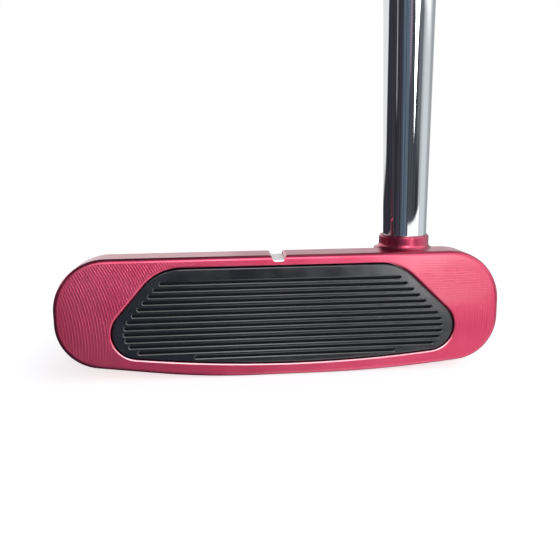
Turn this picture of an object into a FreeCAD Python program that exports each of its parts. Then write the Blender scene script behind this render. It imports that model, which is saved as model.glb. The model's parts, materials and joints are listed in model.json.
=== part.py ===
import FreeCAD, Part
import math
import os

# Mallet putter, right-handed, 34 inches long.
# Frame: +Z up, +X towards the heel, -Y towards the target. The origin is on the flat rest patch
# of the sole, under the sight line. Millimetres and degrees.

V = FreeCAD.Vector
ORIGIN = V(0, 0, 0)
X_AXIS = V(1, 0, 0)
Z_AXIS = V(0, 0, 1)

# Head envelope
LOFT = 3.0
FACE_Y = -20.0             # leading edge of the face, at sole level
HEAD_HEIGHT = 25.8
TOE_X = -46.5
HEEL_X = 47.7
HEAD_BACK_Y = 41.0
TOPLINE_DEPTH = 7.6        # front to back of the thin top bar
TOE_TOP_R = 11.0
TOE_BOTTOM_R = 9.6
HEEL_TOP_R = 10.9
HEEL_BOTTOM_R = 9.6
SHOULDER_R = 33.0          # plan view, toe and heel corners of the back
BACK_R = 120.0             # plan view, middle of the back
SHOULDER_DROP = 6.5        # how far the back edge falls away towards its corners
FACE_ROUND = 0.9           # round along the rim of the milled face
BACK_ROUND = 1.0           # round along the top edges behind the face
BELLY_ROUND = 2.0          # round along the lower back edge

# Sole: flat patch, then a rocker towards toe, heel and back
PATCH_TOE_X = -16.0        # where the toe slope meets the flat, before the rocker's arc
PATCH_HEEL_X = 22.0
PATCH_BACK_Y = 20.0
TOE_RISE = 3.9
HEEL_RISE = 2.6
BACK_RISE = 4.6
ROCKER_TOE_R = 160.0
ROCKER_HEEL_R = 270.0
ROCKER_BACK_R = 107.0

# Rear deck, its two pockets and the rib between them
DECK_START_Y = -8.4        # foot of the bar's back wall
DECK_FRONT_Z = 11.4
DECK_END_Y = 50.0
DECK_END_Z = 8.1
DECK_CORNER_R = 6.0
RIM_WIDTH = 6.0
RIB_HALF_WIDTH = 7.5
POCKET_FLOOR_Z = 4.3
POCKET_START_Y = -1.5
POCKET_CORNER_R = 3.5

# Sight marks
SIGHT_WIDTH = 2.6
NOTCH_DEPTH = 1.3
NOTCH_CORNER_R = 0.7
NOTCH_LIP_R = 0.7
FLANGE_MARK_DEPTH = 0.7
FLANGE_MARK_START_Y = 0.5
FLANGE_MARK_END_Y = 36.0
PAINT_THICKNESS = 0.35

# Face insert, in the plane of the face: x along it, z up it
INSERT_TOP_Z = 23.55
INSERT_TOP_TOE_X = -24.9
INSERT_TOP_HEEL_X = 25.6
INSERT_TOE_X = -40.2       # sharp corners of the outline, before rounding
INSERT_TOE_Z = 5.95
INSERT_HEEL_X = 44.4
INSERT_HEEL_Z = 5.55
INSERT_LOW_X = 2.0
INSERT_LOW_Z = 1.35
INSERT_TOP_R = 10.0
INSERT_SIDE_R = 5.3
INSERT_LOW_R = 285.0
INSERT_THICKNESS = 2.1
PAD_THICKNESS = 0.4
INSERT_GAP = 0.3
INSERT_ROUND = 0.35
POCKET_BEVEL_WIDTH = 0.25
POCKET_BEVEL_DEPTH = 0.1
GROOVE_COUNT = 13
GROOVE_PITCH = 1.32
GROOVE_TOP_Z = 20.55
GROOVE_WIDTH = 0.62
GROOVE_DEPTH = 0.45
GROOVE_LIP_WIDTH = 0.2     # shallow bevel along both lips of a groove
GROOVE_LIP_DEPTH = 0.07
GROOVE_MARGIN = 0.9        # plain border inside the insert's edge, where no groove runs
GROOVE_SETBACK = 1.8       # a groove's end stops this much short of that border

# Hosel boss, upright, with a bore that leans with the shaft
BOSS_X = 28.5
BOSS_Y = FACE_Y + 8.6
BOSS_R = 5.42
BOSS_TOP_Z = 28.7
BOSS_FLARE = 1.1
BOSS_FLARE_SINK = 0.02     # the flare's edge ends this far below the topline
BOSS_RIM_ROUND = 0.4
COLUMN_R = 8.0             # foot of the column that carries the boss behind the top bar
BORE_OFFSET_X = 0.15
BORE_R = 4.85
BORE_DEPTH = 20.5
EPOXY_DROP = 0.3           # the epoxy ends this far below the boss's rim

# Shaft: straight tip, two bends, then the straight stepped upper section
TIP_R = 4.7
BEND_TUBE_R = 5.1
BUTT_R = 7.3
SHAFT_WALL = 0.5
TIP_LEAN = 5.0             # towards the target
TIP_TILT = 2.4             # towards the toe
LIE = 70.0
UPPER_Y = -21.0            # upper section's plane, ahead of the face
LOW_BEND_ABOVE_MOUTH = 58.0
HIGH_BEND_Z = 113.0
LOW_BEND_R = 35.0
HIGH_BEND_R = 45.0
STEP_COUNT = 9
STEP_LENGTH = 36.0
FIRST_STEP = 210.0         # distances up the shaft are from the ground, along the upper axis
PLUG_LENGTH = 12.0

# Grip
CLUB_LENGTH = 864.0
GRIP_LENGTH = 266.0
CAP_THICKNESS = 3.0
TAPE_THICKNESS = 0.25
TAPE_LENGTH = 255.0
GRIP_EDGE_ROUND = 1.0
VENT_R = 1.0
BAND_START = 540.0
BAND_LENGTH = 42.0
BAND_THICKNESS = 0.15

# Screw-in sole weights, square to the rockered sole
WEIGHT_X = 31.0
WEIGHT_Y = 5.0
WEIGHT_PAD_R = 9.5         # solid metal left round each port
WEIGHT_RECESS = 0.3
WEIGHT_HEAD_R = 7.4
WEIGHT_HEAD_T = 2.0
WEIGHT_STEM_R = 4.9
WEIGHT_STEM_L = 4.0
WEIGHT_BEVEL = 0.3
SOCKET_AF = 5.0
SOCKET_DEPTH = 2.6
PORT_HEAD_R = 7.6
PORT_STEM_R = 4.96
PORT_END_GAP = 0.5
SEAL_GAP = 0.9
SEAL_RING_R = 6.2
SEAL_SECTION_R = 0.42

BEYOND = 60.0              # past every side of the head, for cutting shapes


# ---------------------------------------------------------------- helpers

def in_xz(a, b):
    return V(a, 0, b)


def in_xy(a, b):
    return V(a, b, 0)


def in_yz(a, b):
    return V(0, a, b)


def corner_arc(before, here, after, radius):
    """Start, middle and end of the arc that rounds the corner at here."""
    back = before - here
    ahead = after - here
    back.normalize()
    ahead.normalize()
    half = back.getAngle(ahead) / 2
    reach = radius / math.tan(half)
    inward = back + ahead
    inward.normalize()
    middle = here + inward * (radius / math.sin(half) - radius)
    return here + back * reach, middle, here + ahead * reach


def rounded_wire(corners, place):
    """Closed wire through (a, b, radius) corners; place puts (a, b) on a plane."""
    points = [V(a, b, 0) for a, b, radius in corners]
    arcs = []
    for i, (a, b, radius) in enumerate(corners):
        following = points[(i + 1) % len(points)]
        arcs.append([place(p.x, p.y) for p in corner_arc(points[i - 1], points[i], following, radius)])
    edges = []
    for i, (start, middle, end) in enumerate(arcs):
        if corners[i][2] > 0:
            edges.append(Part.Arc(start, middle, end).toShape())
        next_start = arcs[(i + 1) % len(arcs)][0]
        if end.distanceToPoint(next_start) > 1e-6:
            edges.append(Part.LineSegment(end, next_start).toShape())
    return Part.Wire(edges)


def grown(corners, distance):
    """The (a, b, radius) corners of a convex outline after its sides move out by distance."""
    points = [V(a, b, 0) for a, b, radius in corners]
    result = []
    for i, (a, b, radius) in enumerate(corners):
        back = points[i - 1] - points[i]
        ahead = points[(i + 1) % len(points)] - points[i]
        back.normalize()
        ahead.normalize()
        inward = back + ahead
        inward.normalize()
        moved = points[i] - inward * (distance / math.sin(back.getAngle(ahead) / 2))
        result.append((moved.x, moved.y, radius + distance if radius > 0 else 0))
    return result


def prism(wire, start, direction):
    """Solid swept from the wire, moved by start, along direction."""
    solid = Part.Face(wire).extrude(direction)
    solid.translate(start)
    return solid


def to_face(shape):
    """Turns a shape built on the upright plane y = 0 onto the lofted face."""
    turned = shape.copy()
    turned.rotate(ORIGIN, X_AXIS, -LOFT)
    turned.translate(V(0, FACE_Y, 0))
    return turned


def along(shape, base, axis):
    """Turns a shape built up the Z axis so that it runs from base along axis."""
    turned = shape.copy()
    turned.Placement = FreeCAD.Placement(base, FreeCAD.Rotation(Z_AXIS, axis))
    return turned


def rod(radius, base, axis, start, end):
    """Cylinder on the axis through base, from start to end along it."""
    return Part.makeCylinder(radius, end - start, base + axis * start, axis)


def middle_of(edge):
    return edge.valueAt((edge.FirstParameter + edge.LastParameter) / 2)


def turn_across(shape, edge):
    """Angle between the two faces that meet at an edge, at its middle."""
    meeting = [face for face in shape.Faces if any(e.isSame(edge) for e in face.Edges)]
    if len(meeting) < 2:
        return 0.0
    normals = [face.normalAt(*face.Surface.parameter(middle_of(edge))) for face in meeting[:2]]
    return math.degrees(normals[0].getAngle(normals[1]))


def export(name, shape):
    shape.exportStep("parts/" + name + ".step")


# ---------------------------------------------------------------- head blank

TOP_FRONT_Y = FACE_Y + HEAD_HEIGHT * math.tan(math.radians(LOFT))
TOP_BACK_Y = TOP_FRONT_Y + TOPLINE_DEPTH
FACE_NORMAL = V(0, -math.cos(math.radians(LOFT)), math.sin(math.radians(LOFT)))


def front_outline():
    """The head seen square to the face."""
    corners = [
        (TOE_X, HEAD_HEIGHT, TOE_TOP_R),
        (HEEL_X, HEAD_HEIGHT, HEEL_TOP_R),
        (HEEL_X, HEEL_RISE, HEEL_BOTTOM_R),
        (PATCH_HEEL_X, 0, ROCKER_HEEL_R),
        (PATCH_TOE_X, 0, ROCKER_TOE_R),
        (TOE_X, TOE_RISE, TOE_BOTTOM_R),
    ]
    return rounded_wire(corners, in_xz)


def plan_outline(inset=0.0):
    """The head seen from above; its straight sides stand just outside the front outline."""
    side = 0.5
    corners = [
        (TOE_X - side, -BEYOND, 0),
        (TOE_X - side, HEAD_BACK_Y - SHOULDER_DROP, SHOULDER_R),
        ((TOE_X + HEEL_X) / 2, HEAD_BACK_Y, BACK_R),
        (HEEL_X + side, HEAD_BACK_Y - SHOULDER_DROP, SHOULDER_R),
        (HEEL_X + side, -BEYOND, 0),
    ]
    return rounded_wire(grown(corners, -inset), in_xy)


def side_outline():
    """The head seen from the toe: lofted face, topline, step down to the deck, sole."""
    corners = [
        (FACE_Y, 0, 0),
        (TOP_FRONT_Y, HEAD_HEIGHT, 0),
        (TOP_BACK_Y, HEAD_HEIGHT, 0),
        (DECK_START_Y, DECK_FRONT_Z, DECK_CORNER_R),
        (DECK_END_Y, DECK_END_Z, 0),
        (DECK_END_Y, BACK_RISE, 0),
        (PATCH_BACK_Y, 0, ROCKER_BACK_R),
    ]
    return rounded_wire(corners, in_yz)


def head_blank():
    """Outer shape of the head: three outlines crossed, a hosel boss and rounded edges."""
    front = prism(front_outline(), V(0, -BEYOND, 0), V(0, 2 * BEYOND, 0))
    plan = prism(plan_outline(), V(0, 0, -BEYOND), V(0, 0, 2 * BEYOND))
    side = prism(side_outline(), V(-BEYOND, 0, 0), V(2 * BEYOND, 0, 0))
    block = front.common(plan).common(side)

    block = block.makeFillet(FACE_ROUND, face_rim_edges(block))
    block = block.makeFillet(BELLY_ROUND, lower_back_edges(block))
    block = block.makeFillet(BACK_ROUND, upper_back_edges(block))
    return block.fuse(boss_and_column()).Solids[0]


def boss_and_column():
    """Round boss with a flared foot on a column that widens downwards, turned about one axis."""
    foot = HEAD_HEIGHT - BOSS_FLARE_SINK
    flare = BOSS_FLARE
    rim = BOSS_RIM_ROUND
    bend = math.sqrt(0.5)
    flare_middle = in_xz(BOSS_R + flare * (1 - bend), foot + flare * (1 - bend))
    rim_middle = in_xz(BOSS_R - rim * (1 - bend), BOSS_TOP_Z - rim * (1 - bend))
    column = Part.makePolygon([
        in_xz(0, BOSS_TOP_Z),
        in_xz(0, POCKET_FLOOR_Z),
        in_xz(COLUMN_R, POCKET_FLOOR_Z),
        in_xz(BOSS_R + flare, foot),
    ])
    profile = Part.Wire(column.Edges + [
        Part.Arc(in_xz(BOSS_R + flare, foot), flare_middle, in_xz(BOSS_R, foot + flare)).toShape(),
        Part.LineSegment(in_xz(BOSS_R, foot + flare), in_xz(BOSS_R, BOSS_TOP_Z - rim)).toShape(),
        Part.Arc(in_xz(BOSS_R, BOSS_TOP_Z - rim), rim_middle, in_xz(BOSS_R - rim, BOSS_TOP_Z)).toShape(),
        Part.LineSegment(in_xz(BOSS_R - rim, BOSS_TOP_Z), in_xz(0, BOSS_TOP_Z)).toShape(),
    ])
    turned = Part.Face(profile).revolve(ORIGIN, Z_AXIS, 360)
    turned.translate(V(BOSS_X, BOSS_Y, 0))
    return turned


def face_rim_edges(shape):
    """Edges that lie all along in the plane of the milled face."""
    leading = V(0, FACE_Y, 0)
    rim = []
    for edge in shape.Edges:
        spots = [vertex.Point for vertex in edge.Vertexes] + [middle_of(edge)]
        if all(abs((p - leading).dot(FACE_NORMAL)) < 1e-4 for p in spots):
            rim.append(edge)
    return rim


def lower_back_edges(shape):
    """Sharp edge between the sole and the wall round the back of the head."""
    return [
        edge for edge in shape.Edges
        if middle_of(edge).z < DECK_END_Z and middle_of(edge).y > WEIGHT_Y and turn_across(shape, edge) > 40
    ]


def upper_back_edges(shape):
    """Sharp edges round the topline's back, down its ends and round the deck."""
    found = []
    for edge in shape.Edges:
        spot = middle_of(edge)
        in_height = DECK_END_Z < spot.z < HEAD_HEIGHT + 0.1
        if in_height and edge.Length > 0.05 and turn_across(shape, edge) > 9:
            found.append(edge)
    return found


# ---------------------------------------------------------------- cuts in the head

def deck_slope():
    return math.degrees(math.atan2(DECK_FRONT_Z - DECK_END_Z, DECK_END_Y - DECK_START_Y))


def deck_pocket(side):
    """Open pocket in the deck, between rib, rim and weight port; side is -1 toe, 1 heel."""
    pad_x = WEIGHT_X - WEIGHT_PAD_R
    pad_y = WEIGHT_Y + WEIGHT_PAD_R
    corners = [
        (side * RIB_HALF_WIDTH, POCKET_START_Y, POCKET_CORNER_R),
        (side * pad_x, POCKET_START_Y, POCKET_CORNER_R),
        (side * pad_x, pad_y, WEIGHT_PAD_R),
        (side * BEYOND, pad_y, 0),
        (side * BEYOND, BEYOND, 0),
        (side * RIB_HALF_WIDTH, BEYOND, 0),
    ]
    rise = V(0, 0, HEAD_HEIGHT)
    floor = V(0, 0, POCKET_FLOOR_Z)
    bounds = prism(plan_outline(RIM_WIDTH), floor, rise)
    pocket = prism(rounded_wire(corners, in_xy), floor, rise).common(bounds).Solids[0]
    upright = [
        edge for edge in pocket.Edges
        if isinstance(edge.Curve, Part.Line) and abs(edge.Length - HEAD_HEIGHT) < 1e-3
        and turn_across(pocket, edge) > 20
    ]
    return pocket.makeFillet(POCKET_CORNER_R, upright)


def notch(height):
    """U groove across the topline with rounded lips, filled up to height above its floor."""
    floor = HEAD_HEIGHT - NOTCH_DEPTH
    half = SIGHT_WIDTH / 2
    reach = half + 2 * NOTCH_LIP_R
    corners = [
        (-half, floor, NOTCH_CORNER_R),
        (half, floor, NOTCH_CORNER_R),
        (half, HEAD_HEIGHT, NOTCH_LIP_R),
        (reach, HEAD_HEIGHT, 0),
        (reach, floor + 2 * NOTCH_DEPTH, 0),
        (-reach, floor + 2 * NOTCH_DEPTH, 0),
        (-reach, HEAD_HEIGHT, 0),
        (-half, HEAD_HEIGHT, NOTCH_LIP_R),
    ]
    groove = prism(rounded_wire(corners, in_xz), V(0, FACE_Y - 1, 0), V(0, BEYOND / 2, 0))
    keep = Part.makeBox(2 * reach, BEYOND, height, V(-reach, FACE_Y - 1, floor))
    return groove.common(keep)


def flange_mark(height):
    """Round-ended slot along the rib, parallel to the sloping deck."""
    half = SIGHT_WIDTH / 2
    length = FLANGE_MARK_END_Y - FLANGE_MARK_START_Y
    corners = [(-half, 0, half), (half, 0, half), (half, length, half), (-half, length, half)]
    slot = prism(rounded_wire(corners, in_xy), V(0, 0, -FLANGE_MARK_DEPTH), V(0, 0, height))
    slot.rotate(ORIGIN, X_AXIS, -deck_slope())
    deck_drop = (FLANGE_MARK_START_Y - DECK_START_Y) * math.tan(math.radians(deck_slope()))
    slot.translate(V(0, FLANGE_MARK_START_Y, DECK_FRONT_Z - deck_drop))
    return slot


def insert_outline(grow=0.0):
    """The insert's outline on the upright plane y = 0, moved outwards by grow."""
    corners = [
        (INSERT_TOP_TOE_X, INSERT_TOP_Z, INSERT_TOP_R),
        (INSERT_TOP_HEEL_X, INSERT_TOP_Z, INSERT_TOP_R),
        (INSERT_HEEL_X, INSERT_HEEL_Z, INSERT_SIDE_R),
        (INSERT_LOW_X, INSERT_LOW_Z, INSERT_LOW_R),
        (INSERT_TOE_X, INSERT_TOE_Z, INSERT_SIDE_R),
    ]
    return rounded_wire(grown(corners, grow), in_xz)


def insert_pocket():
    """Pocket for the insert, with a fine bevel where it breaks the milled face."""
    depth = INSERT_THICKNESS + PAD_THICKNESS
    mouth = insert_outline(INSERT_GAP + 2 * POCKET_BEVEL_WIDTH)
    mouth.translate(V(0, -POCKET_BEVEL_DEPTH, 0))
    throat = insert_outline(INSERT_GAP)
    throat.translate(V(0, POCKET_BEVEL_DEPTH, 0))
    bevel = Part.makeLoft([mouth, throat], True, True)
    return to_face(prism(insert_outline(INSERT_GAP), ORIGIN, V(0, depth, 0)).fuse(bevel))


def sole_spot(side):
    """Point on the sole under a weight, and the direction square to the sole into the head."""
    if side < 0:
        radius, corner, rise, run = ROCKER_TOE_R, -PATCH_TOE_X, TOE_RISE, PATCH_TOE_X - TOE_X
    else:
        radius, corner, rise, run = ROCKER_HEEL_R, PATCH_HEEL_X, HEEL_RISE, HEEL_X - PATCH_HEEL_X
    slope = math.atan2(rise, run)
    arc_start = corner - radius * math.tan(slope / 2)
    if WEIGHT_X - arc_start < radius * math.sin(slope):
        angle = math.asin((WEIGHT_X - arc_start) / radius)
        height = radius * (1 - math.cos(angle))
    else:
        angle = slope
        height = (WEIGHT_X - corner) * math.tan(slope)
    spot = V(side * WEIGHT_X, WEIGHT_Y, height)
    return spot, V(-side * math.sin(angle), 0, math.cos(angle))


def weight_port(side):
    spot, inward = sole_spot(side)
    shoulder = WEIGHT_RECESS + WEIGHT_HEAD_T + SEAL_GAP
    end = WEIGHT_RECESS + WEIGHT_HEAD_T + WEIGHT_STEM_L + PORT_END_GAP
    seat = rod(PORT_HEAD_R, spot, inward, -WEIGHT_HEAD_R, shoulder)
    return seat.fuse(rod(PORT_STEM_R, spot, inward, 0, end))


# ---------------------------------------------------------------- shaft line

MOUTH = V(BOSS_X + BORE_OFFSET_X, BOSS_Y, BOSS_TOP_Z)


def tip_direction():
    way = V(-math.tan(math.radians(TIP_TILT)), -math.tan(math.radians(TIP_LEAN)), 1)
    way.normalize()
    return way


TIP_WAY = tip_direction()
UPPER_WAY = V(math.cos(math.radians(LIE)), 0, math.sin(math.radians(LIE)))
GROUND_POINT = V(0, UPPER_Y, 0)
SHAFT_END = CLUB_LENGTH - CAP_THICKNESS


def shaft_core(shrink):
    """The shaft as a solid bar, with every radius less by shrink."""
    low = MOUTH + TIP_WAY * LOW_BEND_ABOVE_MOUTH
    high = GROUND_POINT + UPPER_WAY * (HIGH_BEND_Z / UPPER_WAY.z)
    first = GROUND_POINT + UPPER_WAY * FIRST_STEP
    low_arc = corner_arc(MOUTH, low, high, LOW_BEND_R)
    high_arc = corner_arc(low, high, first, HIGH_BEND_R)
    path = Part.Wire([
        Part.Arc(*low_arc).toShape(),
        Part.LineSegment(low_arc[2], high_arc[0]).toShape(),
        Part.Arc(*high_arc).toShape(),
        Part.LineSegment(high_arc[2], first).toShape(),
    ])
    section = Part.Wire([Part.makeCircle(BEND_TUBE_R - shrink, low_arc[0], TIP_WAY)])
    bent = path.makePipeShell([section], True, False)

    taper_length = (low_arc[0] - MOUTH).Length
    taper = along(Part.makeCone(TIP_R - shrink, BEND_TUBE_R - shrink, taper_length), MOUTH, TIP_WAY)
    pieces = [rod(TIP_R - shrink, MOUTH, TIP_WAY, -BORE_DEPTH, 0), taper, bent]
    for step in range(1, STEP_COUNT + 1):
        radius = BEND_TUBE_R + (BUTT_R - BEND_TUBE_R) * step / STEP_COUNT - shrink
        start = FIRST_STEP + (step - 1) * STEP_LENGTH
        end = start + STEP_LENGTH if step < STEP_COUNT else SHAFT_END
        pieces.append(rod(radius, GROUND_POINT, UPPER_WAY, start, end))
    core = pieces[0]
    for piece in pieces[1:]:
        core = core.fuse(piece)
    return core.removeSplitter()


# ---------------------------------------------------------------- nodes

def head_body(blank):
    cuts = [deck_pocket(-1), deck_pocket(1), insert_pocket(), weight_port(-1), weight_port(1)]
    cuts.append(notch(2 * NOTCH_DEPTH))
    cuts.append(flange_mark(2 * FLANGE_MARK_DEPTH))
    cuts.append(rod(BORE_R, MOUTH, TIP_WAY, -BORE_DEPTH, BOSS_R))
    body = blank
    for cut in cuts:
        body = body.cut(cut)
    return body.Solids[0]


def groove(height):
    """One groove across the insert, round-ended, with bevelled lips, short of the insert's edge."""
    outline = insert_outline(-GROOVE_MARGIN)
    line = Part.LineSegment(V(-BEYOND, 0, height), V(BEYOND, 0, height)).toShape()
    crossings = sorted(vertex.Point.x for vertex in line.section(outline).Vertexes)
    ends = (crossings[0] + GROOVE_SETBACK, crossings[-1] - GROOVE_SETBACK)

    def slot(half, depth):
        corners = [
            (ends[0] - half, height - half, half),
            (ends[0] - half, height + half, half),
            (ends[1] + half, height + half, half),
            (ends[1] + half, height - half, half),
        ]
        wire = rounded_wire(corners, in_xz)
        wire.translate(V(0, depth, 0))
        return wire

    half = GROOVE_WIDTH / 2
    mouth = slot(half + 2 * GROOVE_LIP_WIDTH, -GROOVE_LIP_DEPTH)
    lips = Part.makeLoft([mouth, slot(half, GROOVE_LIP_DEPTH)], True, True)
    return prism(slot(half, 0), ORIGIN, V(0, GROOVE_DEPTH, 0)).fuse(lips)


def face_insert():
    plate = prism(insert_outline(), ORIGIN, V(0, INSERT_THICKNESS, 0))
    rim = [edge for edge in plate.Edges if edge.BoundBox.YMax < 1e-6]
    plate = plate.makeFillet(INSERT_ROUND, rim)
    for i in range(GROOVE_COUNT):
        plate = plate.cut(groove(GROOVE_TOP_Z - i * GROOVE_PITCH))
    return to_face(plate.Solids[0])


def insert_pad():
    return to_face(prism(insert_outline(), V(0, INSERT_THICKNESS, 0), V(0, PAD_THICKNESS, 0)))


def sole_weight(side):
    """Round weight with a threaded stem and a hexagon socket in its face."""
    spot, inward = sole_spot(side)
    head = Part.makeCylinder(WEIGHT_HEAD_R, WEIGHT_HEAD_T, V(0, 0, WEIGHT_RECESS))
    rims = [edge for edge in head.Edges if isinstance(edge.Curve, Part.Circle)]
    head = head.makeChamfer(WEIGHT_BEVEL, rims)
    stem = Part.makeCylinder(WEIGHT_STEM_R, WEIGHT_HEAD_T + WEIGHT_STEM_L - WEIGHT_BEVEL)
    stem.translate(V(0, 0, WEIGHT_RECESS + WEIGHT_BEVEL))
    top = WEIGHT_RECESS + WEIGHT_HEAD_T + WEIGHT_STEM_L
    tip = [edge for edge in stem.Edges if abs(middle_of(edge).z - top) < 1e-6]
    stem = stem.makeChamfer(WEIGHT_BEVEL, tip)
    corner_r = SOCKET_AF / math.sqrt(3)
    turns = [math.radians(60 * i) for i in range(6)]
    points = [V(corner_r * math.cos(a), corner_r * math.sin(a), 0) for a in turns + turns[:1]]
    hexagon = Part.makePolygon(points)
    socket = prism(hexagon, ORIGIN, V(0, 0, WEIGHT_RECESS + SOCKET_DEPTH))
    return along(head.fuse(stem).cut(socket).removeSplitter().Solids[0], spot, inward)


def weight_seal(side):
    spot, inward = sole_spot(side)
    middle = WEIGHT_RECESS + WEIGHT_HEAD_T + SEAL_GAP / 2
    return Part.makeTorus(SEAL_RING_R, SEAL_SECTION_R, spot + inward * middle, inward)


def shaft_tube():
    return shaft_core(0).cut(shaft_core(SHAFT_WALL)).Solids[0]


def tip_plug():
    return rod(TIP_R - SHAFT_WALL, MOUTH, TIP_WAY, -BORE_DEPTH, PLUG_LENGTH - BORE_DEPTH)


def hosel_epoxy():
    sleeve = rod(BORE_R, MOUTH, TIP_WAY, -BORE_DEPTH, -EPOXY_DROP)
    return sleeve.cut(rod(TIP_R, MOUTH, TIP_WAY, -BORE_DEPTH, 0))


def sleeve_on_butt(thickness, start, length):
    """Thin sleeve round the shaft's parallel butt section."""
    outer = rod(BUTT_R + thickness, GROUND_POINT, UPPER_WAY, start, start + length)
    return outer.cut(rod(BUTT_R, GROUND_POINT, UPPER_WAY, start, start + length))


def grip_section(distance, half_width, flat, back):
    """Outline of the grip at one distance up the shaft: flat thumb face, rounded palm side."""
    front_r = 4.0
    palm_r = half_width - 0.3
    corners = [
        (-half_width, flat, front_r),
        (half_width, flat, front_r),
        (half_width, -back, palm_r),
        (-half_width, -back, palm_r),
    ]
    centre = GROUND_POINT + UPPER_WAY * distance
    thumb_way = V(-UPPER_WAY.z, 0, UPPER_WAY.x)

    def place(a, b):
        return centre + V(0, a, 0) + thumb_way * b

    return rounded_wire(corners, place)


def grip_and_cap():
    """Pistol grip: it swells towards the butt, most on the palm side, and ends in a cap."""
    start = CLUB_LENGTH - GRIP_LENGTH
    sections = [
        grip_section(start, 10.0, 9.4, 10.0),
        grip_section(start + 0.30 * GRIP_LENGTH, 11.4, 10.0, 11.6),
        grip_section(start + 0.68 * GRIP_LENGTH, 12.6, 10.6, 13.4),
        grip_section(CLUB_LENGTH, 13.6, 11.4, 17.4),
    ]
    solid = Part.makeLoft(sections, True, False)
    ends = [
        edge for edge in solid.Edges
        if min(abs((middle_of(edge) - GROUND_POINT).dot(UPPER_WAY) - s) for s in (start, CLUB_LENGTH)) < 1e-3
    ]
    solid = solid.makeFillet(GRIP_EDGE_ROUND, ends)
    over_cap = rod(BEYOND, GROUND_POINT, UPPER_WAY, SHAFT_END, CLUB_LENGTH + BEYOND)
    bore = rod(BUTT_R + TAPE_THICKNESS, GROUND_POINT, UPPER_WAY, start - BEYOND, SHAFT_END)
    vent = rod(VENT_R, GROUND_POINT, UPPER_WAY, SHAFT_END, CLUB_LENGTH + BEYOND)
    return solid.cut(over_cap).cut(bore).Solids[0], solid.common(over_cap).cut(vent).Solids[0]


def main():
    os.makedirs("parts", exist_ok=True)
    blank = head_blank()
    export("head_body", head_body(blank))
    export("face_insert", face_insert())
    export("insert_pad", insert_pad())
    export("topline_sight_paint", blank.common(notch(PAINT_THICKNESS)).Solids[0])
    export("flange_sight_paint", flange_mark(PAINT_THICKNESS))
    for name, side in (("toe", -1), ("heel", 1)):
        export(name + "_weight", sole_weight(side))
        export(name + "_weight_seal", weight_seal(side))
    export("shaft", shaft_tube())
    export("shaft_tip_plug", tip_plug())
    export("hosel_epoxy", hosel_epoxy())
    export("shaft_band", sleeve_on_butt(BAND_THICKNESS, BAND_START, BAND_LENGTH))
    export("grip_tape", sleeve_on_butt(TAPE_THICKNESS, SHAFT_END - TAPE_LENGTH, TAPE_LENGTH))
    grip, cap = grip_and_cap()
    export("grip", grip)
    export("grip_cap", cap)


main()
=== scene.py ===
"""Looks of the mallet putter: a material for every piece, a plain studio and the camera."""

import json
import math

import bpy
from mathutils import Matrix, Vector


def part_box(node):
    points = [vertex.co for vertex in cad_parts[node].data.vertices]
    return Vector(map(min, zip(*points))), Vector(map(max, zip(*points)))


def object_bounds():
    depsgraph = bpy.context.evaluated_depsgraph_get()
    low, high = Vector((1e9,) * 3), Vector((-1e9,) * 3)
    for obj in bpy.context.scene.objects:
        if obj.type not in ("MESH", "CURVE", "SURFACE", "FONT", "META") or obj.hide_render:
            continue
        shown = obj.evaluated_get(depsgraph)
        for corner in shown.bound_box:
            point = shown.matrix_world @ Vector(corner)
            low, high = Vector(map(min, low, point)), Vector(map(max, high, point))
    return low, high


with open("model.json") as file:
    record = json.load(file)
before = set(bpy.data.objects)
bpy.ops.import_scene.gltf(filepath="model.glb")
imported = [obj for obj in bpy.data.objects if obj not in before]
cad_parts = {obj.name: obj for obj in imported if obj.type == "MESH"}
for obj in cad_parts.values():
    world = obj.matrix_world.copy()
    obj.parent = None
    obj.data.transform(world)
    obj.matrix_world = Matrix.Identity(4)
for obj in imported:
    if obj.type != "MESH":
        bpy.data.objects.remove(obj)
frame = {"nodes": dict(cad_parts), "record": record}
cad_low, cad_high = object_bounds()
nodes = frame["nodes"]

MM = 0.001


# ---------------------------------------------------------------- node helpers
class Term:
    """A number worked out by nodes. Arithmetic on it adds Math nodes to the same tree."""

    def __init__(self, tree, socket):
        self.tree = tree
        self.socket = socket

    def math(self, operation, *others):
        node = self.tree.nodes.new("ShaderNodeMath")
        node.operation = operation
        for place, value in enumerate((self, *others)):
            plug(self.tree, node.inputs[place], value)
        return Term(self.tree, node.outputs[0])

    def __add__(self, other):
        return self.math("ADD", other)

    def __sub__(self, other):
        return self.math("SUBTRACT", other)

    def __mul__(self, other):
        return self.math("MULTIPLY", other)

    def __truediv__(self, other):
        return self.math("DIVIDE", other)

    def ramp(self, low, high, start=0.0, end=1.0):
        """Goes smoothly from start to end while the number goes from low to high."""
        node = self.tree.nodes.new("ShaderNodeMapRange")
        node.interpolation_type = "SMOOTHSTEP"
        for name, value in (
            ("Value", self), ("From Min", low), ("From Max", high), ("To Min", start), ("To Max", end),
        ):
            plug(self.tree, node.inputs[name], value)
        return Term(self.tree, node.outputs["Result"])

    def window(self, low, high, soft):
        """One between low and high, zero outside, over soft edges."""
        rise = self.ramp(low - soft, low + soft)
        return rise * self.ramp(high - soft, high + soft, 1.0, 0.0)

    def sine(self):
        return self.math("SINE")

    def size(self):
        return self.math("ABSOLUTE")

    def ridges(self, pitch):
        """Scallops of this pitch: sharp crests at 1, round valleys at 0."""
        return (self * (math.pi / pitch)).sine().size() * -1.0 + 1.0

    def blend(self, dark, light):
        """The colour between dark and light at this number."""
        node = self.tree.nodes.new("ShaderNodeMix")
        node.data_type = "RGBA"
        plug(self.tree, node.inputs["Factor"], self)
        plug(self.tree, node.inputs[6], dark)
        plug(self.tree, node.inputs[7], light)
        return Term(self.tree, node.outputs[2])


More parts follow.
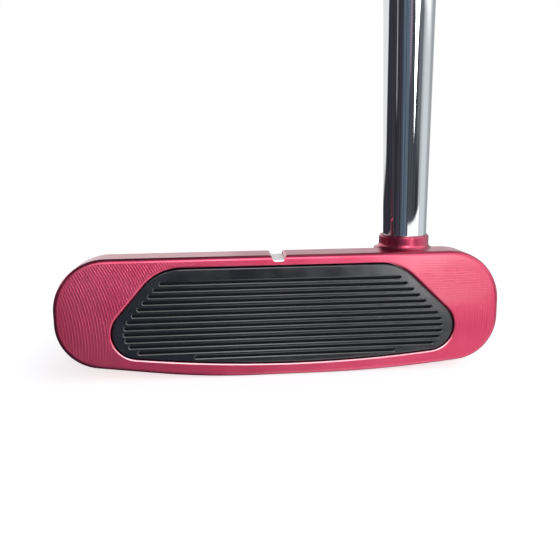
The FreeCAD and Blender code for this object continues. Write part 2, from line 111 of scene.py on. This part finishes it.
def plug(tree, socket, value):
    """Links a node's output to a socket, or writes a plain value on it."""
    if isinstance(value, Term):
        tree.links.new(value.socket, socket)
    elif isinstance(value, tuple) and len(socket.default_value) == 4:
        socket.default_value = (*value, 1.0)
    else:
        socket.default_value = value


def split(tree, vector):
    """The x, y and z of a vector."""
    node = tree.nodes.new("ShaderNodeSeparateXYZ")
    tree.links.new(vector, node.inputs[0])
    return [Term(tree, output) for output in node.outputs]


class Look:
    """A material. Keyword values are written straight on its shader's sockets."""

    def __init__(self, name, **values):
        self.material = bpy.data.materials.new(name)
        self.material.use_nodes = True
        self.tree = self.material.node_tree
        self.shader = self.tree.nodes["Principled BSDF"]
        for socket, value in values.items():
            plug(self.tree, self.shader.inputs[socket.replace("_", " ")], value)
        self.coordinates = self.tree.nodes.new("ShaderNodeTexCoord")
        self.bumped = None

    def place(self):
        """x, y and z on the object, in millimetres."""
        scaled = self.tree.nodes.new("ShaderNodeVectorMath")
        scaled.operation = "SCALE"
        scaled.inputs["Scale"].default_value = 1 / MM
        self.tree.links.new(self.coordinates.outputs["Object"], scaled.inputs[0])
        return split(self.tree, scaled.outputs[0])

    def facing(self):
        """x, y and z of the surface's own direction."""
        return split(self.tree, self.coordinates.outputs["Normal"])

    def noise(self, size, detail=2.0, stretch=(1, 1, 1), roughness=0.5):
        """Cloudy variation from 0 to 1, with lumps of this size in millimetres."""
        mapping = self.tree.nodes.new("ShaderNodeMapping")
        mapping.inputs["Scale"].default_value = [1 / MM / size / s for s in stretch]
        self.tree.links.new(self.coordinates.outputs["Object"], mapping.inputs["Vector"])
        node = self.tree.nodes.new("ShaderNodeTexNoise")
        node.inputs["Scale"].default_value = 1.0
        node.inputs["Detail"].default_value = detail
        node.inputs["Roughness"].default_value = roughness
        self.tree.links.new(mapping.outputs[0], node.inputs["Vector"])
        return Term(self.tree, node.outputs[0])

    def set(self, name, value):
        plug(self.tree, self.shader.inputs[name], value)
        return self

    def bump(self, height, depth):
        """Raises the surface by height (0 to 1) times depth in millimetres."""
        node = self.tree.nodes.new("ShaderNodeBump")
        node.inputs["Strength"].default_value = 1.0
        node.inputs["Distance"].default_value = depth * MM
        plug(self.tree, node.inputs["Height"], height)
        if self.bumped:
            self.tree.links.new(self.bumped, node.inputs["Normal"])
        self.bumped = node.outputs[0]
        for socket in ("Normal", "Coat Normal"):
            self.tree.links.new(self.bumped, self.shader.inputs[socket])
        return self

    def on(self, *names):
        for name in names:
            nodes[name].data.materials.clear()
            nodes[name].data.materials.append(self.material)
        return self


# ---------------------------------------------------------------- the head's paint and milling
# Lengths are in millimetres. A pair is a span from low to high.
FACE_LOFT = math.radians(3.0)
FLY_CUTTER_R = 30.0      # the cutter that left the arcs on the toe
FLY_CUTTER_Z = 9.0
TOE_MARK_PITCH = 0.6
TOE_MARKS_X = (-44.5, -16.0)
HEEL_MARK_PITCH = 0.56
UPRIGHT_MARKS_X = (37.0, 46.5)
UPRIGHT_MARKS_Z = (6.0, 13.5)
LEVEL_MARKS_X = (30.0, 46.5)
LEVEL_MARKS_Z = (15.5, 23.5)
MARK_DEPTH = 0.024
POCKET_X = (-36.5, 39.5)         # holds the insert's pocket and none of the head's own edges
POCKET_Z = (2.2, 24.3)
LAND_TO_GROOVE = (0.15, 0.32)    # behind the face, where the lands end and the groove floors begin


def milling_marks(look):
    """Arcs on the toe, and upright and level lines on the heel, each from 0 to 1."""
    x, _, z = look.place()
    wander = look.noise(7.0) * 0.35
    rise = z - FLY_CUTTER_Z
    arc = x - (rise * rise * -1.0 + FLY_CUTTER_R ** 2).math("SQRT")
    arcs = (arc + wander).ridges(TOE_MARK_PITCH)
    arcs = arcs * x.window(*TOE_MARKS_X, 2.0) * z.ramp(3.0, 9.0)
    upright = (x + wander).ridges(HEEL_MARK_PITCH)
    upright = upright * x.window(*UPRIGHT_MARKS_X, 1.5) * z.window(*UPRIGHT_MARKS_Z, 3.5)
    level = (z + wander).ridges(HEEL_MARK_PITCH)
    level = level * x.window(*LEVEL_MARKS_X, 2.0) * z.window(*LEVEL_MARKS_Z, 3.5)
    return arcs, upright + level


def painted_bevel_highlight(look):
    """Painted highlight: one on the upward-facing bevel round the insert's pocket, lightening the paint
    there as if lit from above.
    """
    x, _, z = look.place()
    _, forward, up = look.facing()
    bevel = forward.window(-0.955, -0.90, 0.01) * up.ramp(0.1, 0.42)
    return bevel * x.window(*POCKET_X, 0.5) * z.window(*POCKET_Z, 0.2)


def head_paint():
    """Clear metallic red over milled steel, a little rougher on the face."""
    look = Look("head_paint", Metallic=1.0, Coat_Weight=0.9, Coat_Roughness=0.16)
    on_face = look.facing()[1].ramp(-0.985, -0.995)
    look.set("Roughness", on_face * 0.08 + look.noise(5.0, 3.0).ramp(0.3, 0.7, 0.32, 0.36))

    toe_marks, heel_marks = (marks * on_face for marks in milling_marks(look))
    broken = look.noise(1.2, 3.0, stretch=(0.5, 1, 1.6)).ramp(0.35, 0.6, 0.25, 1.0)
    look.bump((toe_marks + heel_marks) * broken, MARK_DEPTH)
    look.bump(look.noise(0.2, 2.0), 0.006)

    tint = look.noise(9.0, 3.0).ramp(0.3, 0.7, 0.0, 0.3) + (toe_marks - heel_marks) * 0.5
    paint = tint.blend((0.72, 0.062, 0.145), (0.90, 0.145, 0.26))
    # The upward bevel round the pocket is blended towards pale pink: a painted highlight.
    look.set("Base Color", (painted_bevel_highlight(look) * 0.45).blend(paint, (0.92, 0.86, 0.88)))
    look.on("head_body")


def insert_polymer():
    """Black polymer with polished lands. The floors of its grooves are matt."""
    look = Look("insert_polymer")
    scuffs = look.noise(1.2, 4.0, stretch=(5, 1, 0.6)).ramp(0.62, 0.8)
    look.set("Base Color", scuffs.blend((0.006, 0.007, 0.010), (0.022, 0.023, 0.030)))
    _, y, z = look.place()
    front = Vector(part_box("face_insert")[0]) / MM
    behind_face = y - front.y - (z - front.z) * math.tan(FACE_LOFT)
    groove = behind_face.ramp(*LAND_TO_GROOVE)
    look.set("Roughness", look.noise(4.0, 3.0).ramp(0.3, 0.7, 0.18, 0.25) + groove * 0.35)
    look.set("Specular IOR Level", groove.ramp(0.0, 1.0, 1.0, 0.12))
    look.bump(look.noise(0.25, 2.0), 0.003)
    look.on("face_insert")


def sight_paint():
    # The white fill glows faintly on its own: painted light that keeps it reading white in the studio.
    look = Look("sight_paint", Roughness=0.45, Emission_Color=(1.0, 1.0, 1.0), Emission_Strength=0.25)
    look.set("Base Color", look.noise(1.5, 3.0).blend((0.86, 0.86, 0.84), (0.97, 0.97, 0.96)))
    look.bump(look.noise(0.8), 0.02)
    look.on("topline_sight_paint", "flange_sight_paint")


def shaft_chrome():
    look = Look("shaft_chrome", Metallic=1.0, Base_Color=(0.86, 0.87, 0.89))
    look.set("Roughness", look.noise(5.0, 3.0, stretch=(1, 1, 6)).ramp(0.3, 0.7, 0.02, 0.05))
    look.bump(look.noise(2.5, 2.0, stretch=(1, 1, 9)), 0.012)
    look.on("shaft")


GRIP_TILE = 5.0          # mm, length of one tile of the moulded pattern
GRIP_PLAIN_END = 12.0    # mm left plain at the grip's mouth and at its cap
GRIP_RIB_PITCH = 1.6     # mm
GRIP_RIB_SLANT = 0.7
GRIP_RIB_DEPTH = 0.35    # mm


def grip_rubber():
    """Matt rubber with moulded slanting ribs in tiles, plain at both ends and along the edges."""
    mounts = {mount["name"]: mount for mount in frame["record"]["mounts"]}
    hold = mounts["grip_hold"]
    way = Vector(hold["axis"])
    low, high = (Vector(corner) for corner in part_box("grip"))
    half = (high.z - low.z) / way.z / 2 / MM
    middle = Vector(hold["pos_m"]).dot(way) / MM

    look = Look("grip_rubber", Roughness=0.68, Sheen_Weight=0.15)
    x, y, z = look.place()
    up_shaft = x * way.x + z * way.z - middle
    side = look.facing()[1].size()
    row = (up_shaft / GRIP_TILE).math("FLOOR").math("PINGPONG", 1.0) * 2.0 - 1.0
    ribs = (up_shaft * GRIP_RIB_SLANT + y * row).ridges(GRIP_RIB_PITCH)
    patterned = up_shaft.window(-half + GRIP_PLAIN_END, half - GRIP_PLAIN_END, 1.5)
    patterned = patterned * side.ramp(0.97, 0.9)
    seams = (up_shaft / GRIP_TILE).math("FRACT").window(0.06, 0.94, 0.03)
    look.bump(ribs.ramp(0.1, 0.6) * seams * patterned, GRIP_RIB_DEPTH)
    look.bump(look.noise(0.4, 3.0), 0.05)
    worn = look.noise(14.0, 3.0).ramp(0.35, 0.7)
    look.set("Base Color", worn.blend((0.016, 0.016, 0.017), (0.034, 0.033, 0.033)))
    look.on("grip")

    cap = Look("grip_cap_rubber", Roughness=0.55)
    cap.set("Base Color", cap.noise(3.0, 3.0).blend((0.016, 0.016, 0.017), (0.03, 0.03, 0.03)))
    cap.bump(cap.noise(0.3, 2.0), 0.03)
    cap.on("grip_cap")


TURNED_RING_PITCH = 0.22         # mm
SOCKET_EDGE = (2.9, 3.3)         # mm from the axis, where the turned rings begin


def weight_steel():
    """Turned steel: fine rings round each weight's own axis."""
    for name in ("toe_weight", "heel_weight"):
        low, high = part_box(name)
        middle = (Vector(low) + Vector(high)) / 2 / MM
        look = Look(name + "_steel", Metallic=1.0, Base_Color=(0.62, 0.62, 0.63))
        x, y, _ = look.place()
        across = x - middle.x
        along = y - middle.y
        radius = (across * across + along * along).math("SQRT")
        rings = radius.ridges(TURNED_RING_PITCH) * radius.ramp(*SOCKET_EDGE)
        look.bump(rings, 0.01)
        look.bump(look.noise(0.3, 2.0), 0.004)
        look.set("Roughness", look.noise(0.6, 3.0).ramp(0.3, 0.7, 0.22, 0.36))
        look.on(name)


def small_parts():
    seal = Look("seal_rubber", Roughness=0.6)
    seal.set("Base Color", seal.noise(1.0).blend((0.012, 0.012, 0.012), (0.03, 0.03, 0.03)))
    seal.on("toe_weight_seal", "heel_weight_seal")

    epoxy = Look("epoxy", Roughness=0.35)
    epoxy.set("Base Color", epoxy.noise(0.8).blend((0.012, 0.009, 0.010), (0.03, 0.02, 0.022)))
    epoxy.on("hosel_epoxy")

    pad = Look("bond_pad", Roughness=0.8)
    pad.set("Base Color", pad.noise(1.0).blend((0.05, 0.05, 0.05), (0.12, 0.12, 0.12)))
    pad.on("insert_pad")

    plug_look = Look("plug", Roughness=0.5)
    plug_look.set("Base Color", plug_look.noise(1.0).blend((0.6, 0.58, 0.5), (0.75, 0.72, 0.65)))
    plug_look.on("shaft_tip_plug")

    tape = Look("tape", Roughness=0.75)
    tape.set("Base Color", tape.noise(0.5, 4.0).blend((0.55, 0.5, 0.38), (0.72, 0.68, 0.56)))
    tape.on("grip_tape")

    band = Look("band", Roughness=0.3, Coat_Weight=0.6, Coat_Roughness=0.1)
    low, high = (Vector(corner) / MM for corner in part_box("shaft_band"))
    height = band.place()[2]
    middle = (low.z + high.z) / 2
    from_middle = (height - middle).size()
    stripes = from_middle.window(13.0, 14.5, 0.1) + from_middle.window(15.5, 16.0, 0.1)
    film = band.noise(2.0).blend((0.46, 0.03, 0.08), (0.54, 0.04, 0.1))
    band.set("Base Color", stripes.blend(film, (0.8, 0.8, 0.82)))
    band.bump(band.noise(1.5), 0.01)
    band.on("shaft_band")


# ---------------------------------------------------------------- studio
FLOOR_HALF = 6.0         # m
FLOOR_GAP = 0.0002       # m between the floor and the sole


def white_floor():
    level = cad_low.z - FLOOR_GAP
    corners = [(x * FLOOR_HALF, y * FLOOR_HALF, level) for x, y in ((-1, -1), (1, -1), (1, 1), (-1, 1))]
    mesh = bpy.data.meshes.new("floor")
    mesh.from_pydata(corners, [], [(0, 1, 2, 3)])
    floor = bpy.data.objects.new("floor", mesh)
    bpy.context.scene.collection.objects.link(floor)
    look = Look(
        "floor", Roughness=0.9, Base_Color=(0.95, 0.95, 0.95),
        Emission_Color=(1.0, 1.0, 1.0), Emission_Strength=0.65,
    )
    mesh.materials.append(look.material)
    floor.visible_glossy = False


# The room is drawn by bearing and height, both in degrees. Bearing 0 is straight in front of the
# face and plus is towards the heel. Height 0 is level.
def grey(level, blue=0.0):
    return (level, level, level + blue)


def wall_streaks(tree, bearing, height):
    """Upright streaks a few degrees wide, from 0 to 1, that vary the dark walls."""
    spot = tree.nodes.new("ShaderNodeCombineXYZ")
    plug(tree, spot.inputs[0], bearing * 0.22)
    plug(tree, spot.inputs[1], height * 0.03)
    noise = tree.nodes.new("ShaderNodeTexNoise")
    noise.inputs["Scale"].default_value = 1.0
    noise.inputs["Detail"].default_value = 2.0
    tree.links.new(spot.outputs[0], noise.inputs["Vector"])
    return Term(tree, noise.outputs[0]).ramp(0.3, 0.7)


def dark_room(bearing, height, streaks):
    """The toe side and the camera's side: dark walls with a blue one, a pink strip and a window."""
    blue_wall = bearing.window(-39.0, -5.0, 4.0)
    front_wall = bearing.window(-3.0, 35.0, 3.0)
    pink_strip = bearing.window(-9.0, -1.0, 1.5) * height.ramp(-7.0, -2.0)
    window_strip = bearing.window(-69.5, -66.5, 0.7) * height.ramp(-8.0, -5.0)
    light = streaks.blend((0.02, 0.02, 0.028), (0.06, 0.056, 0.075))
    light = blue_wall.blend(light, streaks.blend((0.05, 0.075, 0.11), (0.17, 0.22, 0.28)))
    light = front_wall.blend(light, streaks.blend((0.04, 0.045, 0.058), (0.08, 0.085, 0.1)))
    light = pink_strip.blend(light, (0.3, 0.22, 0.3))
    return window_strip.blend(light, grey(0.5, 0.05))


def pale_sides(light, bearing, height):
    """The heel side, the white backdrop behind the club and the lit floor in front of it."""
    near_heel = bearing.window(34.0, 160.0, 1.5) * height.ramp(-12.0, -5.0)
    far_heel = bearing.window(53.0, 160.0, 4.0)
    heel_glow = bearing.ramp(48.0, 74.0) * bearing.ramp(90.0, 120.0, 1.0, 0.0)
    toe_backdrop = (height * 1.8 - bearing).ramp(126.0, 130.0) * height.window(-5.0, 24.0, 1.5)
    heel_backdrop = bearing.ramp(144.0, 150.0) * height.window(-12.0, 40.0, 1.5)
    floor_edge = bearing * 0.05 + bearing * bearing * 0.00088
    front_floor = bearing.window(-1.0, 62.0, 1.5) * (height - floor_edge).ramp(-17.6, -18.1)
    light = near_heel.blend(light, (0.15, 0.16, 0.18))
    light = far_heel.blend(light, (0.37, 0.39, 0.41))
    light = heel_glow.blend(light, (0.68, 0.71, 0.75))
    light = toe_backdrop.blend(light, grey(0.85, 0.01))
    light = heel_backdrop.blend(light, grey(0.62, 0.01))
    return front_floor.blend(light, grey(1.15))


def lamps(light, bearing, height):
    """A wide light overhead, brightest straight in front, and a softbox on the heel side.

    The softbox narrows to a bright foot below the level.
    """
    overhead = height.window(6.5, 48.0, 2.5) * bearing.window(-26.0, 90.0, 12.0)
    in_front = bearing.window(-6.0, 9.0, 6.0)
    lower = in_front.blend(grey(1.3), grey(7.0))
    upper = in_front.blend(grey(1.1), grey(2.4))
    light = overhead.blend(light, height.ramp(18.0, 26.0).blend(lower, upper))

    half_width = ((height + 8.5) * 0.75).math("MAXIMUM", height * 2.5 + 6.0)
    spread = (half_width - (bearing - 20.0).size()).ramp(-1.0, 1.0)
    softbox = spread * bearing.window(5.0, 33.0, 1.0) * height.ramp(18.0, 10.0)
    return softbox.blend(light, height.ramp(-3.0, 3.0).blend(grey(10.0), grey(1.7)))


def studio_light():
    """Lights and reflections all come from this room. The camera itself sees plain white."""
    world = bpy.data.worlds.new("studio")
    bpy.context.scene.world = world
    world.use_nodes = True
    tree = world.node_tree
    direction = tree.nodes.new("ShaderNodeTexCoord").outputs["Generated"]
    x, y, z = split(tree, direction)
    bearing = x.math("ARCTAN2", y * -1.0) * math.degrees(1.0)
    height = z.math("ARCSINE") * math.degrees(1.0)

    light = dark_room(bearing, height, wall_streaks(tree, bearing, height))
    light = pale_sides(light, bearing, height)
    light = lamps(light, bearing, height)

    background = tree.nodes["Background"]
    seen = Term(tree, tree.nodes.new("ShaderNodeLightPath").outputs["Is Camera Ray"])
    plug(tree, background.inputs["Color"], seen.blend(light, grey(1.0)))
    background.inputs["Strength"].default_value = 1.0


# ---------------------------------------------------------------- camera
EYE = Vector((-9.6, -135.5, 46.6)) * MM
VIEW_TOWARDS_HEEL = math.radians(4.8)
VIEW_DOWN = math.radians(12.5)
VIEW_ROLL = math.radians(-0.6)
LENS = 36.96             # mm, on a 36 mm wide sensor


def camera():
    data = bpy.data.cameras.new("camera")
    data.lens = LENS
    data.sensor_width = 36.0
    data.clip_start = 0.01
    data.clip_end = 50.0
    eye = bpy.data.objects.new("camera", data)
    turn = Matrix.Rotation(-VIEW_TOWARDS_HEEL, 4, "Z")
    tip = Matrix.Rotation(math.pi / 2 - VIEW_DOWN, 4, "X")
    roll = Matrix.Rotation(VIEW_ROLL, 4, "Z")
    eye.matrix_world = Matrix.Translation(EYE) @ turn @ tip @ roll
    bpy.context.scene.collection.objects.link(eye)
    bpy.context.scene.camera = eye


head_paint()
insert_polymer()
sight_paint()
shaft_chrome()
grip_rubber()
weight_steel()
small_parts()
white_floor()
studio_light()
camera()
bpy.context.scene.view_settings.view_transform = "Standard"
